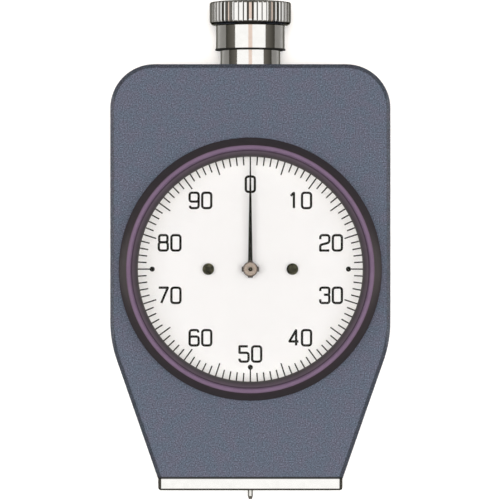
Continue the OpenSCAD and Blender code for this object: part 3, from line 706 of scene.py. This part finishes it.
@dataclass(frozen=True)
class KnurledChrome(BareMetal):
    """Bright chrome with painted shade in the grooves of the knob, along the lower edge of the foot
    and in the foot's joint with the case.
    """

    slot: Slot = Slot.CHROME
    colour: Colour = (0.495, 0.493, 0.485)
    edge: Colour = (0.1, 0.1, 0.08)
    roughness: float = 0.08
    variation: float = 0.03
    marks: Triple = (3.0, 3.0, 3.0)
    mark_depth: float = 0.001
    knob_axis: Triple = (0.0, 0.0, 12.0)
    knob_start: Point = (55.0, 56.0)
    # Painted shade at the bottom of the knurl's grooves, and along the foot's lower edge and in its
    # joint with the case
    groove_painted_shade: Shares = ((9.3, 1.0), (9.5, 0.15), (9.64, 0.15), (9.7, 1.0))
    foot_painted_shade: Shares = (
        (-52.52, 1.0), (-52.46, 0.5), (-52.36, 0.5), (-52.28, 1.0), (-50.11, 1.0),
        (-50.06, 0.14), (-49.75, 0.14), (-49.7, 1.0),
    )

    def tone(self, board: NodeBoard) -> Socket:
        """Give the colour, with painted shade in the knob's grooves and along the foot's edges.

        Args:
            board: The material's nodes.

        Returns:
            A colour socket.
        """
        where = board.place(shift=self.knob_axis)
        # Painted shade in the knob's grooves and along the foot's edges
        grooves = board.rings(where, greys(self.groove_painted_shade), ROUND_Y)
        knob = board.mix(board.along(where, Axis.Y, *self.knob_start), WHITE, grooves)
        foot = board.bands(where, Axis.Y, greys(self.foot_painted_shade))
        return board.times(super().tone(board), knob, foot)


@dataclass(frozen=True)
class TurnedHub(Finish):
    """Dull nickel, turned, with painted shade darkening its centre hole and its rim."""

    slot: Slot = Slot.HUB_NICKEL
    # Rings of the face: painted shade in the centre hole, the nickel's tone, then painted shade on
    # the rim
    face: Stops = (
        (0.48, (0.012, 0.009, 0.006)), (0.56, (0.232, 0.194, 0.16)), (1.4, (0.26, 0.213, 0.177)),
        (1.52, (0.13, 0.106, 0.088)), (1.8, (0.1, 0.082, 0.067)),
    )
    roughness: float = 0.4
    swing: float = 0.06
    grain_size: float = 0.12
    grain_depth: float = 0.003
    grain_strength: float = 0.4

    def paint(self, board: NodeBoard) -> None:
        """Colour the face in rings, with painted shade at the centre hole and the rim, and draw its
        grain.

        Args:
            board: The material's nodes.
        """
        where = board.place()
        board.feed(board.rings(where, self.face), "Base Color")
        grain = board.noise(where, self.grain_size)
        board.dull(grain, self.roughness, self.swing)
        board.surface(Metallic=1.0)
        board.bump(grain, self.grain_depth, self.grain_strength)


class Finishes:
    """Every finish on the gauge, each made once."""

    KINDS: ClassVar[tuple[Finish, ...]] = (
        HammerPaint(),
        SatinBlack(),
        ClearCrystal(),
        DialWhite(),
        WornInk(),
        MattCoat(Slot.BLACK_STEEL, (0.046, 0.044, 0.026), roughness=0.45, variation=0.95,
                 cloud_size=0.7, shine=0.02),
        MattCoat(Slot.WASHER_BLACK, (0.02, 0.02, 0.018), variation=0.15, grain_size=0.2),
        KnurledChrome(),
        BareMetal(Slot.STEEL, (0.5, 0.495, 0.48), edge=(0.4, 0.4, 0.38), roughness=0.22,
                  marks=(1.0, 9.0, 9.0)),
        BareMetal(Slot.SPRING_STEEL, (0.4, 0.4, 0.41), edge=(0.4, 0.4, 0.4), roughness=0.25),
        BareMetal(Slot.BLUE_STEEL, (0.1, 0.16, 0.32), edge=(0.5, 0.5, 0.6), roughness=0.22),
        BareMetal(Slot.BRASS, (0.62, 0.46, 0.2), edge=(0.7, 0.6, 0.4), roughness=0.25,
                  marks=(6.0, 1.0, 6.0)),
        TurnedHub(),
    )

    def __init__(self) -> None:
        """Make the materials."""
        self.materials = {kind.slot: kind.make() for kind in self.KINDS}

    def dress(self, piece: bpy.types.Object, slot: Slot) -> None:
        """Give a solid or a piece its material."""
        piece.data.materials.clear()
        piece.data.materials.append(self.materials[slot])

    def coat(self, piece: bpy.types.Object, slot: Slot) -> None:
        """Give a new piece its material."""
        self.dress(piece, slot)


class SubAssembly:
    """A group of solids that are dressed together; the record says which finish each takes."""

    NODES: ClassVar[tuple[str, ...]] = ()

    def build(self, finishes: Finishes) -> None:
        """Dress the group's solids.

        Args:
            finishes: The finishes.
        """
        slots = {part["node"]: part["material_slot"] for part in frame["record"]["subparts"]}
        for node in self.NODES:
            finishes.dress(frame["nodes"][node], Slot(slots[node]))
            log.info("%s: %s", node, slots[node])


class Case(SubAssembly):
    """Painted case with its rear cover."""

    NODES = ("case", "rear_cover", "rear_cover_screws")


class Window(SubAssembly):
    """Bezel with the crystal under its lip."""

    NODES = ("bezel", "crystal", "crystal_ring")


class Movement(SubAssembly):
    """Plates, bridges and wheels behind the dial."""

    NODES = (
        "front_plate", "front_plate_screws", "centre_bridge", "centre_pillars", "rear_bridge",
        "rear_pillars", "bridge_screws", "drive_arbor", "drive_gear", "centre_arbor",
        "take_up_arbor", "take_up_gear", "hairspring_collet", "hairspring", "hairspring_stud",
    )


@dataclass
class Plunger(SubAssembly):
    """Spindle with its bushes, load spring and indenter, and the foot below it."""

    NODES: ClassVar[tuple[str, ...]] = (
        "lower_bush", "upper_bush", "load_adjuster", "load_spring", "spindle", "indenter",
        "guide_pin", "spring_collar", "foot", "foot_screws",
    )
    travel: float = 2.54
    weld: float = 0.001

    def wind_spring(self, finishes: Finishes) -> None:
        """Make a load spring from a welded copy of the solid.

        Args:
            finishes: The finishes.
        """
        solid = frame["nodes"]["load_spring"]
        bm = bmesh.new()
        bm.from_mesh(solid.data)
        bm.transform(solid.matrix_world)
        bmesh.ops.remove_doubles(bm, verts=bm.verts, dist=self.weld * MM)
        coil = settle("load_coil", bm)
        finishes.coat(coil, Slot.SPRING_STEEL)
        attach(coil, GAUGE)
        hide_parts("load_spring")
        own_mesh(coil)
        log.info("load_coil: %d faces", len(coil.data.polygons))

    def build(self, finishes: Finishes) -> None:
        """Dress the group and wind its spring."""
        super().build(finishes)
        self.wind_spring(finishes)


class Hand(SubAssembly):
    """Pointer with its hub."""

    NODES = ("pointer", "pointer_hub")


@dataclass
class Cap(SubAssembly):
    """Threaded stem with the knurled knob and its washer."""

    NODES: ClassVar[tuple[str, ...]] = ("stem", "knob", "knob_washer")
    axis_height: float = 12.0
    bore: float = 4.3
    thread: float = 5.5
    collar: float = 7.2
    ends: Point = (41.3, 60.5)
    collar_ends: Point = (48.8, 52.5)
    pitch: float = 1.0
    groove_width: float = 0.56
    groove_depth: float = 0.34
    margin: float = 0.01
    rows: int = 128
    segments: int = 72
    sharp: float = 30.0

    def cut_thread(self, bm: bmesh.types.BMesh) -> None:
        """Cut a right-hand groove into the upper end, which an unscrewed knob leaves bare.

        Args:
            bm: The turned stem, along Y.
        """
        start, end = self.collar_ends[1] + self.margin, self.ends[1] - self.margin
        for point in bm.verts:
            x, y, z = point.co / MM
            if start < y < end and math.hypot(x, z) > self.bore + self.margin:
                turn = (y / self.pitch - math.atan2(x, z) / math.tau) % 1.0
                share = max(0.0, 1 - 2 * self.pitch * abs(turn - 0.5) / self.groove_width)
                scale = 1 - share * self.groove_depth / self.thread
                point.co.x *= scale
                point.co.z *= scale

    def turn_stem(self, finishes: Finishes) -> None:
        """Turn the stem with its thread, in place of the plain solid.

        Args:
            finishes: The finishes.
        """
        bottom, top = self.ends
        seat, shoulder = self.collar_ends
        outline = (
            (self.thread, shoulder), (self.thread, top), (self.bore, top), (self.bore, bottom),
            (self.thread, bottom), (self.thread, seat), (self.collar, seat),
            (self.collar, shoulder),
        )
        bm = bmesh.new()
        corners = [bm.verts.new((radius * MM, y * MM, 0)) for radius, y in outline]
        edges = [bm.edges.new(pair) for pair in zip(corners, corners[1:] + corners[:1])]
        bmesh.ops.subdivide_edges(bm, edges=edges[:1], cuts=self.rows - 1)
        bmesh.ops.spin(bm, geom=bm.verts[:] + bm.edges[:], cent=(0, 0, 0), axis=(0, 1, 0),
                       angle=math.tau, steps=self.segments, use_merge=True)
        self.cut_thread(bm)
        bmesh.ops.recalc_face_normals(bm, faces=bm.faces[:])
        for face in bm.faces:
            face.smooth = True
        for edge in bm.edges:
            edge.smooth = edge.calc_face_angle(0.0) < math.radians(self.sharp)
        bmesh.ops.translate(bm, verts=bm.verts[:], vec=(0, 0, self.axis_height * MM))
        stem = settle("threaded_stem", bm)
        finishes.coat(stem, Slot.CHROME)
        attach(stem, GAUGE)
        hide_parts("stem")
        log.info("threaded_stem: %d faces", len(stem.data.polygons))

    def build(self, finishes: Finishes) -> None:
        """Dress the group and turn its stem."""
        super().build(finishes)
        self.turn_stem(finishes)


@dataclass
class Numerals:
    """Upright dial numbers, each drawn as single strokes of one width."""

    height: float = 3.65
    width: float = 2.15
    pitch: float = 3.0
    stroke: float = 0.56
    corner: float = 0.68
    corner_pull: float = 0.45
    corner_steps: int = 6
    edge_steps: int = 1
    ink: float = 0.05
    ring: float = 20.2
    count: int = 10
    divisions: int = 100
    # Corners of each stroke: x and y as shares of the digit's box, and the share of rounding
    STROKES: ClassVar[dict[str, tuple[Stroke, ...]]] = {
        "0": (
            ((0.5, 1, 0), (1, 1, 0.9), (1, 0, 0.9), (0, 0, 0.9), (0, 1, 0.9), (0.5, 1, 0)),
        ),
        "1": (((0.15, 0.8, 0), (0.5, 1.0, 0.2), (0.5, 0, 0)),),
        "2": (
            ((0, 0.74, 0), (0, 1, 0.8), (1, 1, 0.8), (1, 0.52, 0.7), (0, 0.36, 0.5), (0, 0, 0.1),
             (1, 0, 0)),
        ),
        "3": (
            ((0, 0.78, 0), (0, 1, 0.7), (1, 1, 0.7), (1, 0.54, 0.7), (0.4, 0.54, 0)),
            ((0.4, 0.54, 0), (1, 0.54, 0.7), (1, 0, 0.7), (0, 0, 0.7), (0, 0.24, 0)),
        ),
        "4": (((1, 0.26, 0), (0, 0.26, 0.1), (0.74, 1, 0.1), (0.74, 0, 0)),),
        "5": (
            ((0.92, 1, 0), (0, 1, 0.1), (0, 0.58, 0.1), (1, 0.58, 0.8), (1, 0, 0.8), (0, 0, 0.8),
             (0, 0.2, 0)),
        ),
        "6": (
            ((0.95, 0.84, 0), (0.95, 1, 0.6), (0, 1, 0.9), (0, 0, 0.8), (1, 0, 0.8),
             (1, 0.58, 0.8), (0, 0.58, 0.8), (0, 0.3, 0)),
        ),
        "7": (((0, 1, 0), (1, 1, 0.1), (0.28, 0, 0)),),
        "8": (
            ((0.5, 1, 0), (0.96, 1, 0.7), (0.96, 0.54, 0.7), (0.04, 0.54, 0.7), (0.04, 1, 0.7),
             (0.5, 1, 0)),
            ((0.5, 0.54, 0), (1, 0.54, 0.8), (1, 0, 0.8), (0, 0, 0.8), (0, 0.54, 0.8),
             (0.5, 0.54, 0)),
        ),
        "9": (
            ((0.05, 0.16, 0), (0.05, 0, 0.6), (1, 0, 0.9), (1, 1, 0.8), (0, 1, 0.8),
             (0, 0.42, 0.8), (1, 0.42, 0.8), (1, 0.7, 0)),
        ),
    }

    def knots(self, stroke: Stroke, shift: float) -> list[tuple[Vector, Vector, Vector]]:
        """Round the corners of one stroke.

        Args:
            stroke: Its corners.
            shift: Where the digit's box starts along x, in millimetres.

        Returns:
            Each knot of the curve with its left and right handle.
        """
        corners = [
            Vector((shift + x * self.width, (y - 0.5) * self.height, 0)) * MM for x, y, _ in stroke
        ]
        found: list[tuple[Vector, Vector, Vector]] = []
        for i, (at, (_, _, share)) in enumerate(zip(corners, stroke)):
            if share == 0:
                found.append((at, at, at))
                continue
            radius = share * self.corner * MM
            before = (corners[i - 1] - at).normalized() * radius
            after = (corners[i + 1] - at).normalized() * radius
            found.append((at + before, at + before, at + before * self.corner_pull))
            found.append((at + after, at + after * self.corner_pull, at + after))
        return found

    def trace(self, curve: bpy.types.Curve, stroke: Stroke, shift: float) -> None:
        """Add one stroke to a curve.

        Args:
            curve: Curve that takes the stroke.
            stroke: Its corners.
            shift: Where the digit's box starts along x, in millimetres.
        """
        knots = self.knots(stroke, shift)
        spline = curve.splines.new("BEZIER")
        spline.resolution_u = self.corner_steps
        spline.bezier_points.add(len(knots) - 1)
        for point, (at, left, right) in zip(spline.bezier_points, knots):
            point.handle_left_type = point.handle_right_type = "FREE"
            point.co = at
            point.handle_left = left
            point.handle_right = right

    def number(self, text: str, centre: Vector) -> bpy.types.Object:
        """Draw one number flat on the dial.

        Args:
            text: Its digits.
            centre: Middle of the number on the dial's face.

        Returns:
            The number as a mesh.
        """
        curve = bpy.data.curves.new("number_" + text, "CURVE")
        curve.dimensions = "3D"
        curve.bevel_depth = self.stroke / 2 * MM
        curve.bevel_resolution = self.edge_steps
        curve.use_fill_caps = True
        span = self.pitch * (len(text) - 1) + self.width
        for i, digit in enumerate(text):
            for stroke in self.STROKES[digit]:
                self.trace(curve, stroke, i * self.pitch - span / 2)
        drawn = bpy.data.objects.new("number_" + text, curve)
        mesh = bpy.data.meshes.new_from_object(drawn)
        bpy.data.objects.remove(drawn)
        flatten = Matrix.Diagonal((1, 1, self.ink / self.stroke, 1))
        mesh.transform(Matrix.Translation(centre) @ flatten)
        return show("number_" + text, mesh)

    def build(self, finishes: Finishes, face: float) -> None:
        """Draw every number round the dial.

        Args:
            finishes: The finishes.
            face: Height of the dial's face in metres.
        """
        ring = self.ring * MM
        for i in range(self.count):
            angle = math.tau * i / self.count
            centre = Vector((math.sin(angle) * ring, math.cos(angle) * ring, face))
            piece = self.number(str(i * self.divisions // self.count), centre)
            finishes.coat(piece, Slot.PRINT_BLACK)
            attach(piece, GAUGE)
            log.info("%s: %d faces", piece.name, len(piece.data.polygons))


@dataclass
class Dial(SubAssembly):
    """White dial with its print, posts and screws."""

    NODES: ClassVar[tuple[str, ...]] = (
        "dial_plate", "dial_graduations", "dial_posts", "dial_screws",
    )
    numerals: Numerals = field(default_factory=Numerals)

    def build(self, finishes: Finishes) -> None:
        """Dress the dial and print its numbers."""
        super().build(finishes)
        self.numerals.build(finishes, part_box("dial_plate")[1].z)


@dataclass
class Studio:
    """Floor, one wide soft box overhead, a dim room and the camera."""

    camera_height: float = 1.112
    aim: Point = (-0.08, 4.55)
    lens: float = 329.3
    clip: Point = (0.01, 50.0)
    floor_size: float = 12.0
    floor_drop: float = 0.1
    floor_colour: Colour = (0.97, 0.97, 0.965)
    floor_cloud: float = 60.0
    floor_variation: float = 0.01
    floor_gloss: float = 0.68
    floor_roughness: float = 0.3
    floor_glow: float = 0.15
    box_height: float = 1.6
    box_spread: Point = (52.0, 15.0)
    box_light: float = 1.68
    strip_across: float = 6.7
    strip_along: Point = (3.0, 8.0)
    strip_light: Colour = (1.26, 0.97, 0.83)
    room: Stops = ((0.0, (0.08, 0.076, 0.062)), (0.6, (0.26, 0.24, 0.208)))

    def place_camera(self) -> None:
        """Put the camera square over the dial."""
        data = bpy.data.cameras.new("camera")
        data.lens = self.lens
        data.clip_start, data.clip_end = self.clip
        camera = show("camera", data)
        camera.location = (self.aim[0] * MM, self.aim[1] * MM, self.camera_height)
        bpy.context.scene.camera = camera
        log.info("camera")

    def coat_floor(self) -> bpy.types.Material:
        """Make the floor's satin finish, with a faint glow that metal and glass show too.

        Returns:
            The material.
        """
        board = NodeBoard("floor")
        dark, light = (
            shade(self.floor_colour, 1 + part)
            for part in (-self.floor_variation, self.floor_variation)
        )
        board.feed(board.cloud(self.floor_cloud, SOFT_CLOUD, dark, light), "Base Color")
        board.surface(Metallic=self.floor_gloss, Roughness=self.floor_roughness,
                      Emission_Color=(*WHITE, 1.0))
        path = board.add("LightPath")
        direct = board.add("Math", operation="ADD")
        board.join(path.outputs["Is Camera Ray"], direct.inputs[0])
        board.join(path.outputs["Is Glossy Ray"], direct.inputs[1])
        seen = board.add("Math", operation="ADD", use_clamp=True)
        board.join(direct.outputs[0], seen.inputs[0])
        board.join(path.outputs["Is Transmission Ray"], seen.inputs[1])
        glow = board.rescale(seen.outputs[0], To_Min=0.0, To_Max=self.floor_glow)
        board.feed(glow, "Emission Strength")
        return board.material

    def lay_floor(self) -> None:
        """Lay a pale floor that keeps the gauge's shadow."""
        bm = bmesh.new()
        bmesh.ops.create_grid(bm, x_segments=1, y_segments=1, size=self.floor_size / 2)
        bmesh.ops.translate(bm, verts=bm.verts[:], vec=(0, 0, -self.floor_drop * MM))
        floor = settle("floor", bm)
        floor.data.materials.append(self.coat_floor())
        log.info("floor")

    def hang_panel(self, name: str, x: Point, y: Point, light: Colour) -> None:
        """Hang one flat panel of light.

        Args:
            name: Its name.
            x: Where it starts and ends across, in degrees from straight up.
            y: Where it starts and ends along, in degrees from straight up.
            light: Its radiance.
        """
        west, east, south, north = (
            self.box_height * math.tan(math.radians(angle)) for angle in (*x, *y)
        )
        data = bpy.data.lights.new(name, "AREA")
        data.shape = "RECTANGLE"
        data.size = east - west
        data.size_y = north - south
        peak = max(light)
        data.color = tuple(c / peak for c in light)
        data.energy = math.pi * data.size * data.size_y * peak
        lamp = show(name, data)
        lamp.location = ((west + east) / 2, (south + north) / 2, self.box_height)
        log.info("%s: %.1f W", name, data.energy)

    def hang_soft_box(self) -> None:
        """Hang the soft box over the camera, with a dimmer strip beyond the camera's arm."""
        across, along = self.box_spread
        start, end = self.strip_along
        narrow = (-self.strip_across, self.strip_across)
        white = (self.box_light,) * 3
        self.hang_panel("soft_box_left", (-across, narrow[0]), (-along, along), white)
        self.hang_panel("soft_box_right", (narrow[1], across), (-along, along), white)
        self.hang_panel("soft_box_near", narrow, (-along, start), white)
        self.hang_panel("soft_box_far", narrow, (end, along), white)
        self.hang_panel("soft_box_strip", narrow, self.strip_along, self.strip_light)

    def dim_room(self) -> None:
        """Fill the rest of the room with a dim light that fades towards the floor."""
        world = bpy.data.worlds.new("room")
        world.use_nodes = True
        nodes, links = world.node_tree.nodes, world.node_tree.links
        where = nodes.new("ShaderNodeTexCoord")
        split = nodes.new("ShaderNodeSeparateXYZ")
        fade = nodes.new("ShaderNodeValToRGB")
        for element, (height, colour) in zip(fade.color_ramp.elements, self.room):
            element.position = height
            element.color = (*colour, 1.0)
        links.new(where.outputs["Generated"], split.inputs[0])
        links.new(split.outputs["Z"], fade.inputs["Fac"])
        links.new(fade.outputs["Color"], nodes["Background"].inputs["Color"])
        bpy.context.scene.world = world
        log.info("room")

    def build(self) -> None:
        """Set the whole studio."""
        self.place_camera()
        self.lay_floor()
        self.hang_soft_box()
        self.dim_room()
        bpy.context.scene.view_settings.view_transform = "Standard"


def main() -> None:
    """Build the studio and dress every sub-assembly in order."""
    logging.basicConfig(level=logging.INFO, format="%(name)s %(message)s")
    Studio().build()
    finishes = Finishes()
    for group in (Case(), Window(), Dial(), Hand(), Movement(), Plunger(), Cap()):
        group.build(finishes)
        log.info("%s done", type(group).__name__)


if __name__ == "__main__":
    main()
